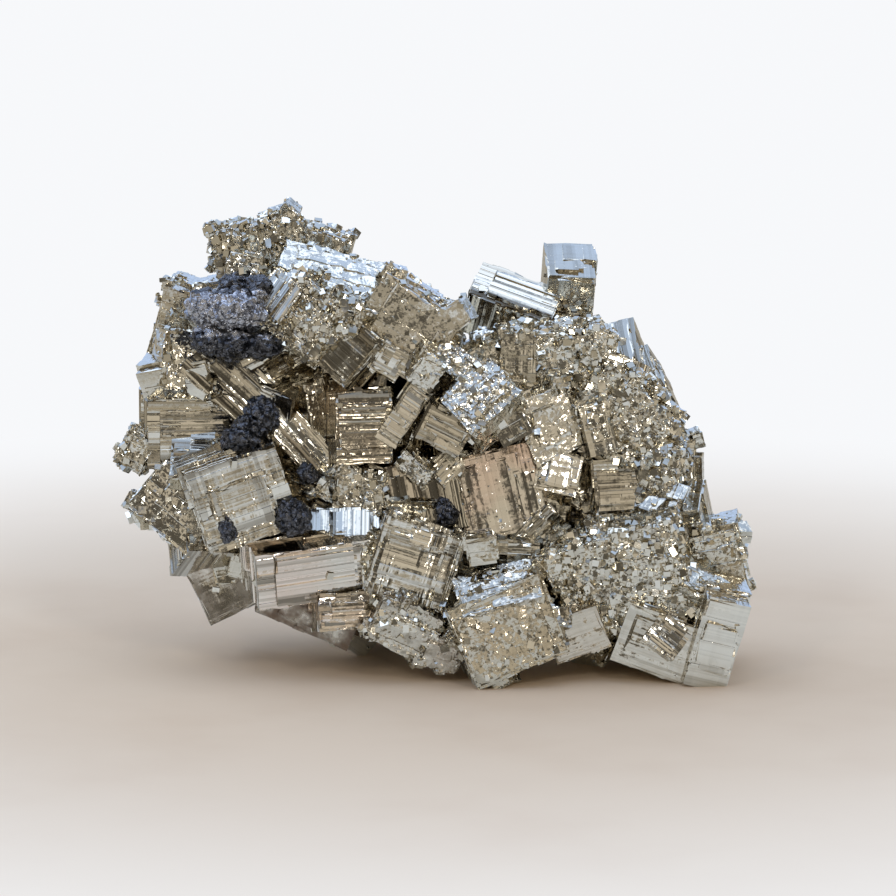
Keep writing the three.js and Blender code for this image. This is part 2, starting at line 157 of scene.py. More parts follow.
# The rest of the cluster is grown by rule. Each row is a mass: its middle [right, back, up], its
# radii, the number of crystals on it, and their smallest and largest size.
BACK_MASSES = [
    [[-14.5, 10, 4], [9.5, 7.5, 10], 20, 5.5, 9.5],
    [[13, 9, -3.5], [7.5, 6, 9], 13, 5.0, 9.0],
    [[0, 8, -6], [9, 6, 8], 10, 5.5, 9.5],
    [[17, 5, -13], [7, 5, 4.5], 6, 4.5, 8.0],
]

# Crystals by rule that fill the gaps at the front. Each row is a sheet: its middle, how far it
# spreads each way, the number of crystals on it, and their smallest and largest size.
FRONT_FILL = [
    [[-20, 7.0, 3], [6, 0.9, 8], 6, 6.0, 8.0],
    [[-3, 6.4, 3], [8, 0.9, 6], 5, 5.0, 7.0],
    [[-14, 5.6, -8], [8, 0.9, 5], 5, 5.0, 7.0],
    [[3, 6.6, -9], [8, 0.9, 6], 5, 5.0, 7.5],
    [[14, 7.0, 1], [5, 0.9, 6], 4, 4.5, 7.0],
    [[17, 4.4, -15], [7, 0.9, 2.5], 4, 4.5, 6.0],
]

# Solid matter behind the crystals that hides no gap between them: middle, size and turn.
CORE_BLOCKS = [
    [[-14, 11, 3], [16, 12, 18], [0, 0, 12]],
    [[-16, 9.5, -7], [14, 10, 10], [0, 0, -10]],
    [[-3, 9.5, 3], [14, 9, 12], [0, 0, 20]],
    [[1, 9.5, -9], [18, 10, 13], [0, 0, -8]],
    [[13, 10, -1], [11, 10, 15], [0, 0, 6]],
    [[16, 6.5, -14], [12, 9, 9], [0, 0, -12]],
]

# Crystals under the back that the cluster stands on: middle [right, back, up], size and turn.
FEET = [
    [[-8.6, 9.8, -15.9], [5.0, 5.0, 5.4], [20, 14, 42]],
    [[-6.2, 15.0, -13.7], [7.0, 7.0, 8.6], [20, 20, 14]],
    [[15.0, 12.6, -14.7], [6.4, 7.0, 8.0], [-18, 22, 14]],
]

# Grains of the dark mineral: name, and the lumps of each, as middle and radii.
DARK_GRAINS = [
    ["dark_crust", [
        [[-22.5, 0.8, 13.1], [1.9, 1.9, 1.7]],
        [[-20.1, 0.1, 13.1], [2.2, 2.0, 1.8]],
        [[-18.4, 0.5, 12.6], [1.6, 1.8, 1.5]],
        [[-17.9, 1.0, 14.8], [1.4, 1.6, 1.3]],
        [[-20.2, 1.8, 15.3], [1.3, 1.5, 1.0]],
        [[-22.4, 1.0, 10.2], [1.6, 1.8, 1.3]],
        [[-20.1, 0.6, 9.7], [2.0, 1.9, 1.3]],
        [[-17.4, 0.5, 9.6], [1.9, 1.9, 1.1]],
    ]],
    ["dark_nodule_middle", [
        [[-17.4, -0.7, 3.1], [1.5, 1.8, 1.6]],
        [[-18.4, -1.3, 1.9], [1.4, 1.8, 1.2]],
        [[-19.3, -1.7, 0.7], [1.8, 1.8, 1.1]],
    ]],
    ["dark_nodule_lower", [[[-14.4, -3.0, -6.5], [1.6, 1.7, 1.6]]]],
    ["dark_grain_left", [[[-20.5, -3.6, -7.5], [0.7, 1.3, 1.2]]]],
    ["dark_grain_centre", [[[-13.3, 0.6, -2.4], [0.8, 1.2, 0.8]]]],
    ["dark_grain_right", [[[-0.2, 0.8, -6.1], [0.9, 1.3, 1.1]]]],
]

LEDGE_RISE = 0.35  # how far a growth plate stands above the face below it
SEAT_FILL = 0.3  # how far a dark grain grows into the play of its CAD seat
RISER = 0.02  # half the width of the step between two growth ledges
LEVEL = math.radians(1.0)  # cells that differ by less are joined in one face
FILL_SKINS = ("plain", "striated", "speckled", "striated")
STUBBY = ("rough", "druse", "glitter", "back", "speckled")
STUBS = 5  # small crystals grown on the rims of each crystal
RIM = 0.3  # the strip along a crystal's edges that chips
CHUNK = 60  # cubes made in one bmesh, which slows as it grows
GROUND_GAP = 0.8  # the druse keeps this clear of the surface that the cluster stands on
SEED = 7
GOLDEN = 0.6180339887  # steps of this share spread places or numbers evenly
PLASTIC = 0.7548776662  # as the golden share, for a second direction
TINY = 1e-6  # millimetres, shorter than any real edge
CUBE_FACES = 6
CRUST_HEIGHTS = (10.8, 14.9)  # the dark crust is grey between these and black beyond them
CRUST_FRAY = 0.9  # how far the edge of the grey wanders
WORLD_EXTENT = 0.2  # metres, wider than the cluster
FLOOR_REACH = 3.0  # metres from the middle of the floor to its edge
FLOOR_FADE = (0.035, 0.13)  # metres from the cluster at which the floor starts and ends its fade
FILM_WIDTH = 36.0
SHOWN = 0.004  # a spot on a crystal shows when the outer skin lies this close to it

# Square lamps: name, place and side in metres, brightness as seen in a mirror, and colour.
LAMPS = [
    ("window", (-0.35, 0.30, 0.50), 0.5, 1.7, (0.66, 0.78, 1.0)),
    ("top", (0.10, 0.05, 0.60), 0.35, 1.2, (0.76, 0.85, 1.0)),
    ("right_spark", (0.16, -0.40, 0.34), 0.08, 16.0, (0.9, 0.94, 1.0)),
    ("left_spark", (-0.22, -0.36, 0.30), 0.06, 14.0, (0.9, 0.95, 1.0)),
    ("low_spark", (0.25, -0.38, 0.05), 0.05, 8.0, (1.0, 0.97, 0.94)),
]

# How each skin shapes and finishes a crystal: the width of its growth bands, the depth of their
# ledges, how far its surface wanders, then the shares of striations, cross striations, roughness
# and druse grains, all from 0 to 1.
SKINS = {
    "striated": (0.85, 0.2, 0.0, 1.0, 0.0, 0.03, 0.004),
    "crossed": (0.8, 0.12, 0.0, 0.7, 1.0, 0.02, 0.004),
    "plain": (1.9, 0.1, 0.05, 0.4, 0.15, 0.07, 0.008),
    "speckled": (1.5, 0.16, 0.12, 0.15, 0.0, 0.24, 0.1),
    "roof": (0.9, 0.2, 0.24, 0.1, 0.0, 0.35, 0.14),
    "glitter": (0.7, 0.3, 0.3, 0.0, 0.0, 1.5, 0.7),
    "soft": (1.2, 0.08, 0.02, 0.3, 0.3, 0.06, 0.01),
    "bright": (1.0, 0.22, 0.16, 0.3, 0.0, 0.55, 0.2),
    "rough": (1.2, 0.3, 0.2, 0.25, 0.0, 0.6, 0.2),
    "druse": (1.1, 0.3, 0.34, 0.0, 0.0, 0.8, 1.0),
    "back": (2.3, 0.25, 0.05, 0.8, 0.1, 0.2, 0.06),
}

# Crystals with a tint of their own: [olive, warm film, rust] from 0 to 1, more for all over.
# The rust share on the undersides is partly real staining and partly painted shade of the floor
# beneath, and the olive share of near_cube and middle_cube is painted shade that darkens faces
# which mirror the lamps and the bright floor.
TINTS = {
    "warm_face": (0.3, 0.9, 0.0),
    "olive_face": (1.0, 0.3, 0.0),
    "slab_underside": (0.8, 0.2, 0.9),
    "near_left_plates": (0.8, 0.2, 0.15),
    "near_left_foot": (0.8, 0.2, 0.25),
    "left_underside": (0.8, 0.2, 0.45),
    # Painted shade: the strong olive share darkens a face that mirrors the bright floor.
    "near_cube": (1.4, 0.1, 0.0),
    "saddle_block": (1.2, 0.2, 0.0),
    "corner_cube_foot": (0.7, 0.1, 0.0),
    "corner_cube": (0.2, 0.05, 0.0),
    # Painted shade: the olive share dulls the lamp glints on this face.
    "middle_cube": (1.4, 0.3, 0.0),
    "striped_cube": (0.8, 0.3, 0.0),
    "flat_slab": (0.15, 0.55, 0.0),
    "slab_lower": (0.3, 0.5, 0.0),
}


def vary(index, use):
    """A number from 0 to 1 that is always the same for the same two whole numbers."""
    long = (index + 1) * GOLDEN + (use + 1) * PLASTIC * (index % 7 + 1)
    return long - math.floor(long)


def mix(low, high, share):
    """From the low number to the high one as the share goes from 0 to 1."""
    return low + (high - low) * share


def placed(at, turn):
    """The turn from a crystal's own axes to the measuring frame."""
    yaw, pitch, roll = (math.radians(angle) for angle in turn)
    spin = Matrix.Rotation(roll, 4, "Y") @ Matrix.Rotation(pitch, 4, "X") @ Matrix.Rotation(yaw, 4, "Z")
    return Matrix.Translation(at) @ spin


# The turn, shift and scale from the measuring frame to the part's own frame.
STAND = (
    Matrix.Scale(MM, 4)
    @ Matrix.Translation([-value for value in BASE_MIDDLE])
    @ Matrix.Rotation(math.radians(-MEASURING_TILT), 4, "X")
)


class CrystalSettings(bpy.types.PropertyGroup):
    """Sizes and colours of the pyrite."""

    small_grain: bpy.props.FloatProperty(
        name="Smallest grain",
        description="Width of the smallest grains of the druse",
        default=0.12 * MM,
        unit="LENGTH",
    )
    large_grain: bpy.props.FloatProperty(
        name="Largest grain",
        description="Width of the largest grains of the druse",
        default=0.75 * MM,
        unit="LENGTH",
    )
    grain_count: bpy.props.IntProperty(
        name="Grains",
        description="Number of small cubes strewn over the rough crystals",
        default=11000,
    )
    pyrite_colour: bpy.props.FloatVectorProperty(
        name="Pyrite",
        description="Colour of a clean pyrite face",
        default=(0.7, 0.652, 0.548),
        subtype="COLOR",
    )
    olive_colour: bpy.props.FloatVectorProperty(
        name="Olive",
        description="Darker, browner colour of some faces",
        default=(0.5, 0.45, 0.345),
        subtype="COLOR",
    )
    # Painted shade: this colour darkens the grooves between striation bands and random pits in the rough
    # ground.
    shadow_colour: bpy.props.FloatVectorProperty(
        name="Shaded stripes",
        description="Pyrite in the fine grooves between striations",
        default=(0.25, 0.215, 0.16),
        subtype="COLOR",
    )
    warm_colour: bpy.props.FloatVectorProperty(
        name="Warm film",
        description="Colour of a thin tarnish film",
        default=(0.74, 0.52, 0.40),
        subtype="COLOR",
    )
    # Partly real rust staining and partly painted shade: on the undersides this brown also stands in for
    # the shaded, warm floor that they mirror.
    rust_and_underside_shade_colour: bpy.props.FloatVectorProperty(
        name="Rust",
        description="Colour of rusty ground on the underside",
        default=(0.13, 0.07, 0.035),
        subtype="COLOR",
    )


class DarkMineralSettings(bpy.types.PropertyGroup):
    """Colours of the dark mineral."""

    crust_colour: bpy.props.FloatVectorProperty(
        name="Crust",
        description="Colour of the grey crust",
        default=(0.42, 0.41, 0.42),
        subtype="COLOR",
    )
    black_colour: bpy.props.FloatVectorProperty(
        name="Band",
        description="Colour of the black bands and nodules",
        default=(0.09, 0.088, 0.092),
        subtype="COLOR",
    )
    lump_depth: bpy.props.FloatProperty(
        name="Lump depth",
        description="How far the lumps of the crust stand out",
        default=0.55 * MM,
        unit="LENGTH",
    )


class StageSettings(bpy.types.PropertyGroup):
    """Camera, floor and light."""

    camera_distance: bpy.props.FloatProperty(
        name="Camera distance",
        description="From the middle of the view to the camera",
        default=0.45,
        unit="LENGTH",
    )
    lens: bpy.props.FloatProperty(
        name="Lens",
        description="Focal length for a film 36 mm wide",
        default=192.857,
        unit="CAMERA",
    )
    floor_colour: bpy.props.FloatVectorProperty(
        name="Floor",
        description="Colour of the surface that the cluster stands on",
        default=(0.71, 0.535, 0.36),
        subtype="COLOR",
    )
    sky_colour: bpy.props.FloatVectorProperty(
        name="Sky",
        description="Cool light from behind and above",
        default=(0.7, 0.93, 1.42),
        min=0.0,
        soft_max=4.0,
        subtype="COLOR",
    )
    backdrop_colour: bpy.props.FloatVectorProperty(
        name="Backdrop",
        description="The plain pale background that the camera sees",
        default=(0.93, 0.94, 0.96),
        subtype="COLOR",
    )
    floor_stain_colour: bpy.props.FloatVectorProperty(
        name="Floor stains",
        description="Faint tan clouds in the floor",
        default=(0.63, 0.45, 0.29),
        subtype="COLOR",
    )
    near_floor_colour: bpy.props.FloatVectorProperty(
        name="Near floor",
        description="The floor by the part, as its faces mirror it",
        default=(1.0, 0.92, 0.79),
        subtype="COLOR",
    )
    far_floor_colour: bpy.props.FloatVectorProperty(
        name="Far floor",
        description="The floor away from the part, as its faces mirror it",
        default=(0.5, 0.47, 0.41),
        subtype="COLOR",
    )
    room_colour: bpy.props.FloatVectorProperty(
        name="Room",
        description="Dim warm light from the camera's side",
        default=(0.13, 0.122, 0.108),
        subtype="COLOR",
    )
    window_colour: bpy.props.FloatVectorProperty(
        name="Windows",
        description="Brighter patches on the camera's side",
        default=(0.75, 0.7, 0.62),
        subtype="COLOR",
    )


# Shader maths


class Value:
    """A number in a material, so that a sum of sockets reads as a plain sum."""

    def __init__(self, shader, socket):
        self.shader = shader
        self.socket = socket

    def __add__(self, other):
        return self.shader.maths("ADD", self, other)

    __radd__ = __add__

    def __sub__(self, other):
        return self.shader.maths("SUBTRACT", self, other)

    def __rsub__(self, other):
        return self.shader.maths("SUBTRACT", other, self)

    def __mul__(self, other):
        return self.shader.maths("MULTIPLY", self, other)

    __rmul__ = __mul__

    def clamped(self):
        return self.shader.maths("ADD", self, 0.0, clamp=True)

    def over(self, low, high):
        """0 below low and 1 above high, with a soft step between."""
        node = self.shader.node(
            "ShaderNodeMapRange",
            {"interpolation_type": "SMOOTHSTEP"},
            {"Value": self, "From Min": low, "From Max": high},
        )
        return Value(self.shader, node.outputs["Result"])


class Shader:
    """A material or world whose nodes are added one by one."""

    def __init__(self, owner):
        owner.use_nodes = True
        self.tree = owner.node_tree
        self.tree.nodes.clear()

    def node(self, kind, settings=None, values=None):
        """Adds a node, sets its settings, then gives or links the values of its sockets."""
        node = self.tree.nodes.new(kind)
        for name, setting in (settings or {}).items():
            setattr(node, name, setting)
        for name, value in (values or {}).items():
            socket = node.inputs[name]
            if isinstance(value, Value):
                value = value.socket
            if isinstance(value, bpy.types.NodeSocket):
                self.tree.links.new(value, socket)
            else:
                socket.default_value = value
        return node

    def maths(self, operation, first, second=0.0, clamp=False):
        settings = {"operation": operation, "use_clamp": clamp}
        node = self.node("ShaderNodeMath", settings, {0: first, 1: second})
        return Value(self, node.outputs[0])

    def vector(self, operation, first, second, output="Vector"):
        if operation == "SCALE":
            values = {0: first, "Scale": second}
        else:
            values = {0: first, 1: second}
        node = self.node("ShaderNodeVectorMath", {"operation": operation}, values)
        return node.outputs[output]

    def attribute(self, name):
        node = self.node("ShaderNodeAttribute", {"attribute_name": name})
        return Value(self, node.outputs["Fac"])

    def place(self):
        return self.node("ShaderNodeTexCoord").outputs["Object"]

    def noise(self, place, scale, detail=2.0, roughness=0.5):
        values = {"Vector": place, "Scale": scale, "Detail": detail, "Roughness": roughness}
        node = self.node("ShaderNodeTexNoise", None, values)
        return Value(self, node.outputs["Fac"])

    def bands(self, along, scale):
        """A number of its own for each of the parallel bands of a surface."""
        settings = {"voronoi_dimensions": "1D"}
        node = self.node("ShaderNodeTexVoronoi", settings, {"W": along, "Scale": scale})
        return Value(self, node.outputs["Color"])

    def leaned(self, first, second):
        """The surface normal, leaned along the two directions of the strata."""
        lean = {"X": first * 0.5 + 0.5, "Y": second * 0.5 + 0.5, "Z": 1.0}
        colour = self.node("ShaderNodeCombineXYZ", None, lean).outputs["Vector"]
        node = self.node("ShaderNodeNormalMap", {"uv_map": "strata"}, {"Color": colour})
        return node.outputs["Normal"]

    def cells(self, place, scale):
        """A colour of its own for each small cell of the surface."""
        node = self.node("ShaderNodeTexVoronoi", None, {"Vector": place, "Scale": scale})
        return node.outputs["Color"]

    def colour(self, share, first, second):
        """From the first colour to the second as the share goes from 0 to 1."""
        node = self.node("ShaderNodeMix", {"data_type": "RGBA"}, {0: share, 6: first, 7: second})
        return node.outputs[2]

    def stretched(self, place, scale):
        return self.vector("MULTIPLY", place, scale)

    def bump(self, height, distance, normal=None):
        values = {"Height": height, "Distance": distance, "Strength": 1.0}
        if normal is not None:
            values["Normal"] = normal
        return self.node("ShaderNodeBump", None, values).outputs["Normal"]

    def tilted(self, normal, cells, amount):
        """A normal, tilted another way in each cell, as small flat crystal faces are."""
        offset = self.vector("SUBTRACT", cells, (0.5, 0.5, 0.5))
        share = self.vector("SCALE", offset, amount)
        return self.vector("NORMALIZE", self.vector("ADD", normal, share), (0.0, 0.0, 0.0))

    def finish(self, values):
        surface = self.node("ShaderNodeBsdfPrincipled", None, values)
        output = self.node("ShaderNodeOutputMaterial")
        self.tree.links.new(surface.outputs["BSDF"], output.inputs["Surface"])


def rgba(colour):
    return (*colour, 1.0)


def pyrite_material(settings):
    """Metallic pyrite: striated faces, sparkling rough ground, warm films, rust that is partly painted
    shade on the undersides, and painted shade in grooves and pits.
    """
    material = bpy.data.materials.new("pyrite")
    shader = Shader(material)
    striae = shader.attribute("striae")
    crossed = shader.attribute("crossed")
    rough = shader.attribute("rough")
    tone = shader.attribute("tone")
    warm = shader.attribute("warm")
    rust_and_shade = shader.attribute("rust_and_shade")
    place = shader.place()
    strata = shader.node("ShaderNodeUVMap", {"uv_map": "strata"}).outputs["UV"]

    # Striations run along the first direction of the strata, one millimetre to the unit, and
    # alternate between faces that lean a little up and a little down
    parts = shader.node("ShaderNodeSeparateXYZ", None, {"Vector": strata}).outputs
    along = Value(shader, parts["X"])
    drift = shader.noise(shader.stretched(strata, (0.03, 0.3, 1.0)), 1.0, 1.0, 0.5)
    over = Value(shader, parts["Y"]) + drift * 0.5
    dense = shader.noise(shader.stretched(strata, (0.05, 0.5, 1.0)), 1.0, 1.0, 0.5).over(0.4, 0.6)
    patches = shader.noise(place, 230.0, 2.0, 0.5).over(0.34, 0.5)
    broad = shader.bands(over, 0.75)
    middle = shader.bands(over, 2.1)
    fine = shader.bands(over, 6.5)
    thin = shader.bands(along, 2.6)
    thread = shader.bands(along, 7.0)
    lean = (broad - 0.5) * 0.6
    lean = lean + (middle - 0.5) * (dense * 0.6 + 0.3) + (fine - 0.5) * (dense * 0.4 + 0.3)
    side_lean = (thin - 0.5 + (thread - 0.5) * 0.7) * crossed * patches
    stripes = shader.leaned(side_lean + (thread - 0.5) * 0.04, striae * lean * 0.8)

    # Small flat faces at all angles make the rough ground sparkle
    facets = shader.tilted(stripes, shader.cells(place, 1500.0), rough * 0.28 + 0.03)
    facets = shader.tilted(facets, shader.cells(place, 4200.0), rough * 0.6 + 0.03)
    grain = shader.noise(place, 1500.0, 3.0, 0.6)
    waves = shader.noise(place, 170.0, 2.0, 0.5)
    relief = grain * (rough * 0.08 + 0.004) + waves * 0.3
    normal = shader.bump(relief, MM, facets)

    # Films and stains, then painted shade in the grooves between striations and in the pits of the rough
    # ground
    clouds = shader.noise(place, 110.0, 3.0, 0.6)
    blotches = shader.noise(place, 420.0, 3.0, 0.6)
    olive = (tone * 0.6 + clouds * 0.6 - 0.1).clamped()
    base = shader.colour(olive, rgba(settings.pyrite_colour), rgba(settings.olive_colour))
    film = (warm * clouds.over(0.35, 0.7) * 0.8).clamped()
    base = shader.colour(film, base, rgba(settings.warm_colour))
    # Rust with painted shade: the brown on the undersides is partly real staining and partly painted
    # shade of the warm floor beneath.
    rust_and_shade_mask = (rust_and_shade * blotches.over(0.3, 0.62)).clamped()
    base = shader.colour(rust_and_shade_mask, base, rgba(settings.rust_and_underside_shade_colour))
    # Painted shade: random pits in the rough ground, and the grooves between striation bands, are
    # darkened toward the shaded-stripe colour.
    pit_shade = shader.noise(place, 800.0, 2.0, 0.5).over(0.56, 0.66) * rough
    dark = (middle.over(0.45, 0.36) * (dense * 0.45 + 0.3) + fine.over(0.4, 0.32) * 0.35) * striae
    dark = (dark + pit_shade * 0.8 + thin.over(0.45, 0.38) * crossed * patches * 0.5).clamped()
    base = shader.colour(dark, base, rgba(settings.shadow_colour))
    dull = blotches.over(0.4, 0.8) * 0.12 + 0.09 + rust_and_shade_mask * 0.4
    shader.finish({
        "Base Color": base,
        "Metallic": 1.0 - rust_and_shade_mask * 0.7,
        "Roughness": dull,
        "Normal": normal,
    })
    return material


def dark_material(settings):
    """A dark submetallic mineral, grey and glittering on the crust and black on the bands."""
    material = bpy.data.materials.new("dark_mineral")
    shader = Shader(material)
    place = shader.place()
    black = shader.attribute("black")
    normal = shader.node("ShaderNodeNewGeometry").outputs["Normal"]
    glint = shader.tilted(normal, shader.cells(place, 1300.0), 0.9)
    glint = shader.tilted(glint, shader.cells(place, 2800.0), 1.1)
    grain = shader.noise(place, 900.0, 4.0, 0.65)
    normal = shader.bump(grain, 0.15 * MM, glint)
    share = (black + grain.over(0.45, 0.75) * 0.5).clamped()
    base = shader.colour(share, rgba(settings.crust_colour), rgba(settings.black_colour))
    shader.finish({
        "Base Color": base,
        "Metallic": 0.85,
        "Roughness": 0.14 + grain * 0.22,
        "Normal": normal,
    })
    return material


def made_mesh(bm, name):
    """The mesh of a bmesh, which is then freed."""
    mesh = bpy.data.meshes.new(name)
    bm.to_mesh(mesh)
    bm.free()
    return mesh


# Crystals


def growth_bands(key, axis, length, width, depth):
    """Lines across a crystal along one axis, and how deep the growth ledge at each line lies."""
    count = max(2, round(length / width))
    ledges = [depth * vary(key + 17 * axis, n + 3) ** 1.5 for n in range(count)]
    lines = [-length / 2, -length / 2 + RIM]
    depths = [ledges[0], ledges[0]]
    for n in range(1, count):
        at = length * ((n + 0.7 * (vary(key + 5 * axis, n + 11) - 0.5)) / count - 0.5)
        at = min(max(at, -length / 2 + RIM + RISER * 3), length / 2 - RIM - RISER * 3)
        at = max(at, lines[-1] + RISER)
        lines += [at, at + 2 * RISER]
        depths += [ledges[n - 1], ledges[n]]
    lines += [max(length / 2 - RIM, lines[-1] + RISER), length / 2]
    depths += [ledges[-1], ledges[-1]]
    return lines, depths


def box_grid(counts):
    """A unit cube whose faces are cut into a grid with that many lines along each axis."""
    grid = bmesh.new()
    bmesh.ops.create_cube(grid, size=1.0)
    for axis, count in enumerate(counts):
        along = [edge for edge in grid.edges if abs((edge.verts[0].co - edge.verts[1].co)[axis]) > TINY]
        bmesh.ops.subdivide_edges(grid, edges=along, cuts=count - 2, use_grid_fill=True)
    return grid


def chipped(spot, key):
    """How far a crystal's edge is broken back at a spot on it."""
    return min(max(noise.noise(spot * 0.8 + Vector((key, 0, 0))) - 0.12, 0.0) * 1.1, 0.28)


def grown_block(key, crystal, low, high, matrix, skin):
    """A block with growth ledges on all its faces, as an object for the join."""
    band, depth, wander = SKINS[skin][:3]
    size = [top - bottom for bottom, top in zip(low, high)]
    middle = Vector([(top + bottom) / 2 for bottom, top in zip(low, high)])
    ledge = min(depth, 0.07 * min(size))
    bands = [growth_bands(key, axis, size[axis], band, ledge) for axis in range(3)]
    # The ledges of a face change across its striations, which turn from face to face
    across = (1, 2, 0)
    counts = [len(lines) for lines, _ in bands]
    grid = box_grid(counts)
    strata = grid.loops.layers.uv.new("strata")
    owner = grid.faces.layers.int.new("crystal")
    rows = {}
    for corner in grid.verts:
        rows[corner] = [round((corner.co[axis] + 0.5) * (counts[axis] - 1)) for axis in range(3)]
        corner.co = Vector([bands[axis][0][row] for axis, row in enumerate(rows[corner])])
    shift = Vector((vary(key, 21), vary(key, 22))) * 40
    for face in grid.faces:
        normal_axis = max(range(3), key=lambda axis: abs(face.normal[axis]))
        face[owner] = crystal
        v_axis = across[normal_axis]
        u_axis = 3 - normal_axis - v_axis
        for loop in face.loops:
            spot = loop.vert.co
            loop[strata].uv = (spot[u_axis] + shift.x, spot[v_axis] + shift.y)
    for corner, row in rows.items():
        spot = corner.co.copy()
        sides = [(index == last - 1) - (index == 0) for index, last in zip(row, counts)]
        chip = chipped(spot + middle, key) if sum(map(abs, sides)) > 1 else 0.0
        for axis, side in enumerate(sides):
            depth_here = bands[across[axis]][1][row[across[axis]]]
            corner.co[axis] -= side * (depth_here + chip)
        if wander:
            corner.co += noise.noise_vector((spot + middle) * 1.1 + Vector((key, key, 0))) * wander
            corner.co += noise.noise_vector((spot + middle) * 2.9) * wander * 0.5
    # Cells that lie level with each other become one face
    grid.normal_update()
    bmesh.ops.dissolve_limit(grid, angle_limit=LEVEL, verts=grid.verts, edges=grid.edges)
    bmesh.ops.transform(grid, matrix=matrix @ Matrix.Translation(middle), verts=grid.verts)
    return bpy.data.objects.new("block", made_mesh(grid, "block"))


def crystal_blocks(crystal, at, size, turn, skin, extras, fronted):
    """A crystal: its body, its two growth plates, and smaller plates and stubs grown on it."""
    matrix = STAND @ placed(at, turn)
    width, depth, height = size
    rise = min(LEDGE_RISE, 0.08 * min(width, height))
    left = mix(-0.5, -0.25, vary(crystal, 1)) * width
    right = mix(0.25, 0.5, vary(crystal, 2)) * width
    foot = mix(-0.5, -0.2, vary(crystal, 3)) * height
    crown = mix(0.2, 0.5, vary(crystal, 4)) * height
    inner = mix(0.15, 0.45, vary(crystal, 5)) * depth
    side = -1 if vary(crystal, 6) < 0.5 else 1
    reach = [edge * width + side * (0.14 * width + rise) for edge in (-0.36, 0.36)]
    boxes = [
        ((-width / 2, 0, -height / 2), (width / 2, depth, height / 2)),
        ((reach[0], inner, 0), (reach[1], depth * 0.9, height / 2 + rise)),
    ]
    if fronted:
        boxes.append(((left, -rise, foot), (right, depth / 2, crown)))
    for n in range(extras):
        boxes.append(side_plate(crystal * 13 + n, width, depth, height))
    blocks = [
        grown_block(crystal * 20 + n, crystal, low, high, matrix, skin)
        for n, (low, high) in enumerate(boxes)
    ]
    for n in range(STUBS if skin in STUBBY else 0):
        key = crystal * 11 + n
        half = mix(0.1, 0.2, vary(key, 5)) * min(width, height)
        spot = (
            mix(-0.5, 0.5, vary(key, 1)) * width,
            mix(0.06, 0.4, vary(key, 2)) * depth,
            mix(-0.5, 0.5, vary(key, 3)) * height,
        )
        if n % 2:
            spot = ((0.5 if spot[0] > 0 else -0.5) * width * 0.96, spot[1], spot[2])
        else:
            spot = (spot[0], spot[1], (0.5 if vary(key, 4) > 0.35 else -0.5) * height * 0.96)
        turned = placed(spot, [mix(-28, 28, vary(key, use)) for use in (7, 8, 9)])
        form = (half * mix(0.7, 1.3, vary(key, 10)), half, half * mix(0.7, 1.3, vary(key, 12)))
        low = [-value for value in form]
        blocks.append(grown_block(key + 5000, crystal, low, form, matrix @ turned, skin))
    return blocks


def side_plate(key, width, depth, height):
    """A small plate or stub that stands a little out of the front or the top of a crystal."""
    rise = mix(0.1, 0.3, vary(key, 3))
    wide = mix(0.12, 0.34, vary(key, 4)) * width
    tall = mix(0.12, 0.34, vary(key, 5)) * height
    x = mix(-0.5, 0.5, vary(key, 1)) * (width - 2 * wide)
    if vary(key, 7) < 0.65:
        z = mix(-0.5, 0.5, vary(key, 2)) * (height - 2 * tall)
        return (x - wide, -rise, z - tall), (x + wide, depth * 0.3, z + tall)
    y = mix(0.1, 0.7, vary(key, 2)) * depth
    return (x - wide, y, height * 0.1), (x + wide, y + depth * 0.28, height / 2 + rise)


def grown_crystals():
    """Crystals by rule, spread evenly over the back half of each mass."""
    rows = []
    for mass, (middle, radii, count, small, large) in enumerate(BACK_MASSES):
        for n in range(count):
            key = mass * 40 + n
            height = 1 - (2 * (n + 0.5)) / count
            round_part = math.sqrt(1 - height * height)
            angle = math.pi * mix(0.02, 0.98, (n * GOLDEN) % 1)
            way = (math.cos(angle) * round_part, math.sin(angle) * round_part, height)
            at = [middle[axis] + way[axis] * radii[axis] for axis in range(3)]
            size = [mix(small, large, vary(key, use)) for use in (1, 2, 3)]
            turn = [mix(-45, 45, vary(key, use)) for use in (4, 5, 6)]
            rows.append((at, size, turn))
    return rows


def fill_crystals():
    """Crystals by rule, spread evenly over each sheet behind the front."""
    rows = []
    for sheet, (middle, spread, count, small, large) in enumerate(FRONT_FILL):
        for n in range(count):
            key = 200 + sheet * 20 + n
            reach = math.sqrt((n + 0.5) / count)
            angle = 2 * math.pi * ((n * GOLDEN) % 1)
            way = (math.cos(angle) * reach, mix(-1, 1, vary(key, 7)), math.sin(angle) * reach)
            at = [middle[axis] + way[axis] * spread[axis] for axis in range(3)]
            size = [mix(small, large, vary(key, use)) for use in (1, 2, 3)]
            turn = [mix(-35, 35, vary(key, use)) for use in (4, 5, 6)]
            rows.append((at, size, turn))
    return rows


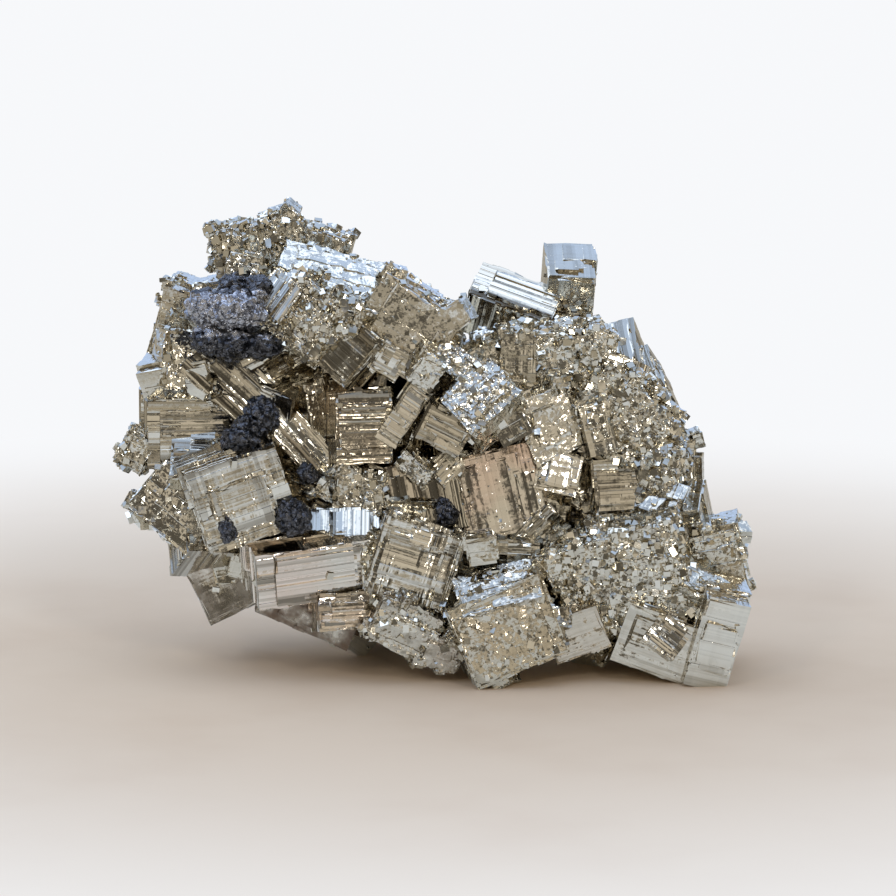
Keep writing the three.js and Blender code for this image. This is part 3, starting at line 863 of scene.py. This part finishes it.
def cluster_blocks():
    """All the blocks that the pyrite is grown from, and the name and skin of each crystal."""
    blocks = []
    owners = []
    for crystal, (name, at, size, turn, skin) in enumerate(FRONT_CRYSTALS):
        blocks += crystal_blocks(crystal, at, size, turn, skin, 4, skin not in ("druse", "glitter"))
        owners.append((name, skin))
    for name, at, size, turn, skin in GAP_CRYSTALS:
        blocks += crystal_blocks(len(owners), at, size, turn, skin, 1, False)
        owners.append((name, skin))
    for at, size, turn in grown_crystals():
        front = (at[0], at[1] - size[1] / 2, at[2])
        blocks += crystal_blocks(len(owners), front, size, turn, "back", 2, False)
        owners.append(("back", "back"))
    for n, (at, size, turn) in enumerate(fill_crystals()):
        skin = FILL_SKINS[n % len(FILL_SKINS)]
        front = (at[0], at[1] - size[1] / 2, at[2])
        blocks += crystal_blocks(len(owners), front, size, turn, skin, 3, False)
        owners.append(("fill", skin))
    for middle, size, turn in CORE_BLOCKS + FEET:
        half = [value / 2 for value in size]
        low = [-value for value in half]
        matrix = STAND @ placed(middle, turn)
        blocks.append(grown_block(len(owners), len(owners), low, half, matrix, "plain"))
        owners.append(("core", "plain"))
    return blocks, owners


def ground_block():
    """Everything below the surface that the cluster stands on."""
    bm = bmesh.new()
    down = Matrix.Translation((0, 0, -WORLD_EXTENT / 2))
    bmesh.ops.create_cube(bm, size=WORLD_EXTENT, matrix=down)
    return bpy.data.objects.new("underground", made_mesh(bm, "underground"))


def combined(pairs, operation):
    """Joins or cuts the first of each pair with the second, and gives back the first ones."""
    items = bpy.context.scene.collection.objects
    for first, second in pairs:
        items.link(first)
        items.link(second)
        change = first.modifiers.new("change", "BOOLEAN")
        change.operation = operation
        change.solver = "MANIFOLD"
        change.object = second
    depsgraph = bpy.context.evaluated_depsgraph_get()
    meshes = [
        bpy.data.meshes.new_from_object(
            first.evaluated_get(depsgraph), preserve_all_data_layers=True, depsgraph=depsgraph
        )
        for first, _ in pairs
    ]
    for (first, second), mesh in zip(pairs, meshes):
        first.modifiers.clear()
        items.unlink(first)
        old = first.data
        first.data = mesh
        bpy.data.meshes.remove(old)
        bpy.data.meshes.remove(second.data)
    return [first for first, _ in pairs]


def joined(blocks, name, cut=None):
    """One closed skin around all the blocks, without what the cut object takes away.

    They are joined two by two, because a join of all at once comes out otherwise in each run.
    """
    while len(blocks) > 1:
        pairs = list(zip(blocks[::2], blocks[1::2]))
        blocks = combined(pairs, "UNION") + blocks[2 * len(pairs):]
    if cut:
        blocks = combined([(blocks[0], cut)], "DIFFERENCE")
    mesh = blocks[0].data
    bpy.data.objects.remove(blocks[0])
    mesh.name = name
    if not mesh.polygons:
        raise RuntimeError(f"{name}: the crystals could not be joined")
    return mesh


def outer_skin(mesh):
    """Takes away loose bits and pockets sealed inside, and keeps the largest skin."""
    bm = bmesh.new()
    bm.from_mesh(mesh)
    left = set(bm.verts)
    skins = []
    while left:
        start = left.pop()
        skin = [start]
        waiting = [start]
        while waiting:
            for edge in waiting.pop().link_edges:
                for corner in edge.verts:
                    if corner in left:
                        left.remove(corner)
                        skin.append(corner)
                        waiting.append(corner)
        skins.append(skin)
    skins.sort(key=len)
    loose = [corner for skin in skins[:-1] for corner in skin]
    bmesh.ops.delete(bm, geom=loose, context="VERTS")
    bmesh.ops.triangulate(bm, faces=bm.faces)
    bm.to_mesh(mesh)
    bm.free()


def finish_faces(mesh, owners):
    """Gives each face the shares of striations, roughness, tone and tint of its crystal."""
    names = ("striae", "crossed", "rough", "druse", "tone", "warm", "rust_and_shade")
    facts = []
    for crystal, (name, skin) in enumerate(owners):
        tint = TINTS.get(name, (vary(crystal, 30), 0.1 * vary(crystal, 31), 0.0))
        facts.append((*SKINS[skin][3:], *tint))
    crystals = [0] * len(mesh.polygons)
    mesh.attributes["crystal"].data.foreach_get("value", crystals)
    for place, name in enumerate(names):
        layer = mesh.attributes.new(name, "FLOAT", "FACE")
        layer.data.foreach_set("value", [facts[crystal][place] for crystal in crystals])


def add_piece(mesh, name, material, slot, *nodes):
    """Puts a finished mesh in the scene as a piece of the part."""
    mesh.materials.clear()
    mesh.materials.append(material)
    piece = bpy.data.objects.new(name, mesh)
    bpy.context.scene.collection.objects.link(piece)
    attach(piece, "root")
    if nodes:
        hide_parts(*nodes)
    return piece


class GrowPyrite(bpy.types.Operator):
    """Grow the striated pyrite crystals and join them in one skin"""

    bl_idname = "pyrite.grow_crystals"
    bl_label = "Grow the pyrite"

    def execute(self, context):
        settings = context.scene.crystal_settings
        blocks, owners = cluster_blocks()
        mesh = joined(blocks, "pyrite_crystals", ground_block())
        outer_skin(mesh)
        finish_faces(mesh, owners)
        material = pyrite_material(settings)
        add_piece(mesh, "pyrite_crystals", material, "pyrite", "pyrite_cluster")
        print("pyrite triangles", len(mesh.polygons))
        return {"FINISHED"}


def rough_triangles(blocks, owners):
    """The triangles of the blocks that bear druse, as corners and normal, with their summed weights."""
    triangles = []
    weights = []
    total = 0.0
    for block in blocks:
        mesh = block.data
        share = SKINS[owners[mesh.attributes["crystal"].data[0].value][1]][6]
        mesh.calc_loop_triangles()
        for triangle in mesh.loop_triangles:
            total += triangle.area * share
            weights.append(total)
            corners = [mesh.vertices[index].co.copy() for index in triangle.vertices]
            triangles.append((corners, triangle.normal.copy()))
    return triangles, weights


def druse_spots(blocks, owners, mesh, settings):
    """Places for small cubes on the rough faces, each with its size and turn.

    They are drawn on the blocks, and kept where the joined skin lies at the same place, because
    the skin's own triangles are cut a little otherwise in each run.
    """
    chance = random.Random(SEED)
    skin = BVHTree.FromPolygons(
        [corner.co for corner in mesh.vertices], [face.vertices for face in mesh.polygons]
    )
    triangles, weights = rough_triangles(blocks, owners)
    spots = []
    while len(spots) < settings.grain_count:
        (first, second, third), normal = triangles[bisect.bisect(weights, chance.random() * weights[-1])]
        along, up = sorted((chance.random(), chance.random()))
        spot = first * along + second * (up - along) + third * (1 - up)
        width = mix(settings.small_grain, settings.large_grain, chance.random() ** 2.6)
        loose = 15 if chance.random() < 0.6 else 45
        spin = Euler([math.radians(chance.uniform(-loose, loose)) for _ in range(3)])
        form = Matrix.Diagonal([width * chance.uniform(0.7, 1.2) for _ in range(3)])
        lift = normal * width * chance.uniform(-0.42, 0.06)
        if spot.z < GROUND_GAP * MM or skin.find_nearest(spot, SHOWN * MM)[0] is None:
            continue
        turn = normal.to_track_quat("Z", "Y").to_matrix() @ spin.to_matrix() @ form
        spots.append(Matrix.Translation(spot + lift) @ turn.to_4x4())
    return spots


def strewn_cubes(name, spots):
    """A mesh with a small cube at each spot."""
    whole = bmesh.new()
    part = bpy.data.meshes.new("part")
    for start in range(0, len(spots), CHUNK):
        some = bmesh.new()
        for spot in spots[start:start + CHUNK]:
            bmesh.ops.create_cube(some, size=1.0, matrix=spot)
        some.to_mesh(part)
        some.free()
        whole.from_mesh(part)
    bpy.data.meshes.remove(part)
    return made_mesh(whole, name)


class GrowDruse(bpy.types.Operator):
    """Strew small cubes over the rough and the sparkling crystals"""

    bl_idname = "pyrite.grow_druse"
    bl_label = "Grow the druse"

    def execute(self, context):
        settings = context.scene.crystal_settings
        crystals = bpy.data.objects["pyrite_crystals"]
        blocks, owners = cluster_blocks()
        spots = druse_spots(blocks, owners, crystals.data, settings)
        bpy.data.batch_remove([block.data for block in blocks])
        mesh = strewn_cubes("pyrite_druse", spots)
        tone = mesh.attributes.new("tone", "FLOAT", "FACE")
        tones = [vary(index // CUBE_FACES, 3) for index in range(len(mesh.polygons))]
        tone.data.foreach_set("value", tones)
        add_piece(mesh, "pyrite_druse", crystals.data.materials[0], "pyrite")
        return {"FINISHED"}


# The dark mineral


def dark_lump(key, middle, radii, settings):
    """A lump with coarse and fine facets, as an object for the join."""
    depth = settings.lump_depth / MM
    ball = bmesh.new()
    bmesh.ops.create_icosphere(ball, subdivisions=5, radius=1.0)
    for corner in ball.verts:
        way = corner.co.normalized()
        spot = Vector([way[axis] * (radii[axis] + SEAT_FILL) for axis in range(3)])
        seat = spot * 0.9 + Vector((key * 3.1, 0, 0))
        near = noise.voronoi(seat)[0]
        fine = noise.voronoi(spot * 1.7 + Vector((0, key * 1.7, 0)))[0]
        rise = depth * (near[1] - near[0] - 0.35) + 0.55 * depth * (0.35 - fine[0])
        rise += 0.5 * depth * noise.noise(spot * 0.6 + Vector((key, key, 0)))
        corner.co = spot + way * rise
    matrix = STAND @ Matrix.Translation(middle)
    bmesh.ops.transform(ball, matrix=matrix, verts=ball.verts)
    return bpy.data.objects.new("lump", made_mesh(ball, "lump"))


class GrowDarkMineral(bpy.types.Operator):
    """Grow the crust, band, nodules and grains of the dark mineral"""

    bl_idname = "pyrite.grow_dark_mineral"
    bl_label = "Grow the dark mineral"

    def execute(self, context):
        settings = context.scene.dark_settings
        material = dark_material(settings)
        for name, lumps in DARK_GRAINS:
            objects = [dark_lump(n, middle, radii, settings) for n, (middle, radii) in enumerate(lumps)]
            mesh = joined(objects, name + "_grown")
            black = mesh.attributes.new("black", "FLOAT", "FACE")
            low, high = ((STAND @ Vector((0, 1, height))).z for height in CRUST_HEIGHTS)
            shades = []
            for face in mesh.polygons:
                level = face.center.z + noise.noise(face.center * 700) * CRUST_FRAY * MM
                crust = name == "dark_crust" and low < level < high
                shades.append(0.0 if crust else 1.0)
            black.data.foreach_set("value", shades)
            add_piece(mesh, name + "_grown", material, "dark_mineral", name)
        return {"FINISHED"}


# The stage


def softbox(name, at, toward, side, brightness, colour):
    """A flat square lamp at a point, turned toward another, as bright as seen in a mirror."""
    lamp = bpy.data.lights.new(name, "AREA")
    lamp.shape = "SQUARE"
    lamp.size = side
    lamp.energy = brightness * math.pi * side * side
    lamp.color = colour
    item = bpy.data.objects.new(name, lamp)
    item.location = at
    item.rotation_euler = (Vector(toward) - Vector(at)).to_track_quat("-Z", "Y").to_euler()
    bpy.context.scene.collection.objects.link(item)


def studio_world(settings):
    """Cool light from above and behind, dim warm light in front, and a pale background."""
    world = bpy.data.worlds.new("studio")
    bpy.context.scene.world = world
    shader = Shader(world)
    way = shader.node("ShaderNodeTexCoord").outputs["Generated"]
    parts = shader.node("ShaderNodeSeparateXYZ", None, {"Vector": way}).outputs
    back = Value(shader, parts["Y"])
    up = Value(shader, parts["Z"])
    left = Value(shader, parts["X"])
    share = (up * 0.9 + back * 0.55 - left * 0.2).over(0.12, 0.75)
    windows = shader.noise(way, 2.6, 1.0, 0.4).over(0.5, 0.62)
    room = shader.colour(windows, rgba(settings.room_colour), rgba(settings.window_colour))
    light = shader.colour(share, room, rgba(settings.sky_colour))
    seen = shader.node("ShaderNodeLightPath").outputs["Is Camera Ray"]
    colour = shader.colour(seen, light, rgba(settings.backdrop_colour))
    glow = shader.node("ShaderNodeBackground", None, {"Color": colour, "Strength": 1.0})
    output = shader.node("ShaderNodeOutputWorld")
    shader.tree.links.new(glow.outputs["Background"], output.inputs["Surface"])


def floor_material(settings):
    """A pale matt surface that fades to plain white away from the part."""
    material = bpy.data.materials.new("floor")
    shader = Shader(material)
    place = shader.place()
    length = Value(shader, shader.vector("LENGTH", place, (0, 0, 0), "Value"))
    clouds = shader.noise(place, 28.0, 4.0, 0.6)
    stains = clouds.over(0.4, 0.7) * 0.5
    base = shader.colour(stains, rgba(settings.floor_colour), rgba(settings.floor_stain_colour))
    seen = shader.node("ShaderNodeLightPath").outputs["Is Camera Ray"]
    base = shader.colour(seen, rgba(settings.near_floor_colour), base)
    matt = shader.node("ShaderNodeBsdfDiffuse", None, {"Color": base})
    pale = shader.colour(seen, rgba(settings.far_floor_colour), rgba(settings.backdrop_colour))
    glow = shader.node("ShaderNodeEmission", None, {"Color": pale, "Strength": 1.0})
    blend = shader.node("ShaderNodeMixShader", None, {"Fac": length.over(*FLOOR_FADE)})
    shader.tree.links.new(matt.outputs[0], blend.inputs[1])
    shader.tree.links.new(glow.outputs[0], blend.inputs[2])
    output = shader.node("ShaderNodeOutputMaterial")
    shader.tree.links.new(blend.outputs[0], output.inputs["Surface"])
    return material


class SetStage(bpy.types.Operator):
    """Set the pale floor, the studio light and the camera"""

    bl_idname = "pyrite.set_stage"
    bl_label = "Set the stage"

    def execute(self, context):
        settings = context.scene.stage_settings
        context.scene.view_settings.view_transform = "Standard"
        bm = bmesh.new()
        bmesh.ops.create_grid(bm, x_segments=1, y_segments=1, size=FLOOR_REACH)
        mesh = made_mesh(bm, "floor")
        mesh.materials.append(floor_material(settings))
        floor = bpy.data.objects.new("floor", mesh)
        context.scene.collection.objects.link(floor)
        studio_world(settings)

        middle = Vector([-value * MM for value in BASE_MIDDLE])
        for name, at, side, brightness, colour in LAMPS:
            softbox(name, at, middle, side, brightness, colour)

        tilt = math.radians(MEASURING_TILT)
        away = Vector((0, -math.cos(tilt), math.sin(tilt))) * settings.camera_distance
        lens = bpy.data.cameras.new("camera")
        lens.lens = settings.lens
        lens.sensor_width = FILM_WIDTH
        camera = bpy.data.objects.new("camera", lens)
        camera.location = middle + away
        camera.rotation_euler = (math.radians(90) - tilt, 0, 0)
        context.scene.collection.objects.link(camera)
        context.scene.camera = camera
        return {"FINISHED"}


STEPS = (GrowPyrite, GrowDruse, GrowDarkMineral, SetStage)


class PyritePanel(bpy.types.Panel):
    """The settings and the steps of the cluster"""

    bl_idname = "VIEW3D_PT_pyrite"
    bl_label = "Pyrite cluster"
    bl_space_type = "VIEW_3D"
    bl_region_type = "UI"
    bl_category = "Pyrite"

    def draw(self, context):
        for group in (
            context.scene.crystal_settings,
            context.scene.dark_settings,
            context.scene.stage_settings,
        ):
            box = self.layout.box()
            for name in group.bl_rna.properties.keys():
                if name not in ("rna_type", "name"):
                    box.prop(group, name)
        for step in STEPS:
            self.layout.operator(step.bl_idname)


CLASSES = (CrystalSettings, DarkMineralSettings, StageSettings, *STEPS, PyritePanel)


def register():
    for item in CLASSES:
        bpy.utils.register_class(item)
    bpy.types.Scene.crystal_settings = bpy.props.PointerProperty(type=CrystalSettings)
    bpy.types.Scene.dark_settings = bpy.props.PointerProperty(type=DarkMineralSettings)
    bpy.types.Scene.stage_settings = bpy.props.PointerProperty(type=StageSettings)


def unregister():
    del bpy.types.Scene.crystal_settings
    del bpy.types.Scene.dark_settings
    del bpy.types.Scene.stage_settings
    for item in reversed(CLASSES):
        bpy.utils.unregister_class(item)


def main():
    register()
    bpy.ops.pyrite.grow_crystals()
    bpy.ops.pyrite.grow_druse()
    bpy.ops.pyrite.grow_dark_mineral()
    bpy.ops.pyrite.set_stage()


if __name__ == "__main__":
    main()
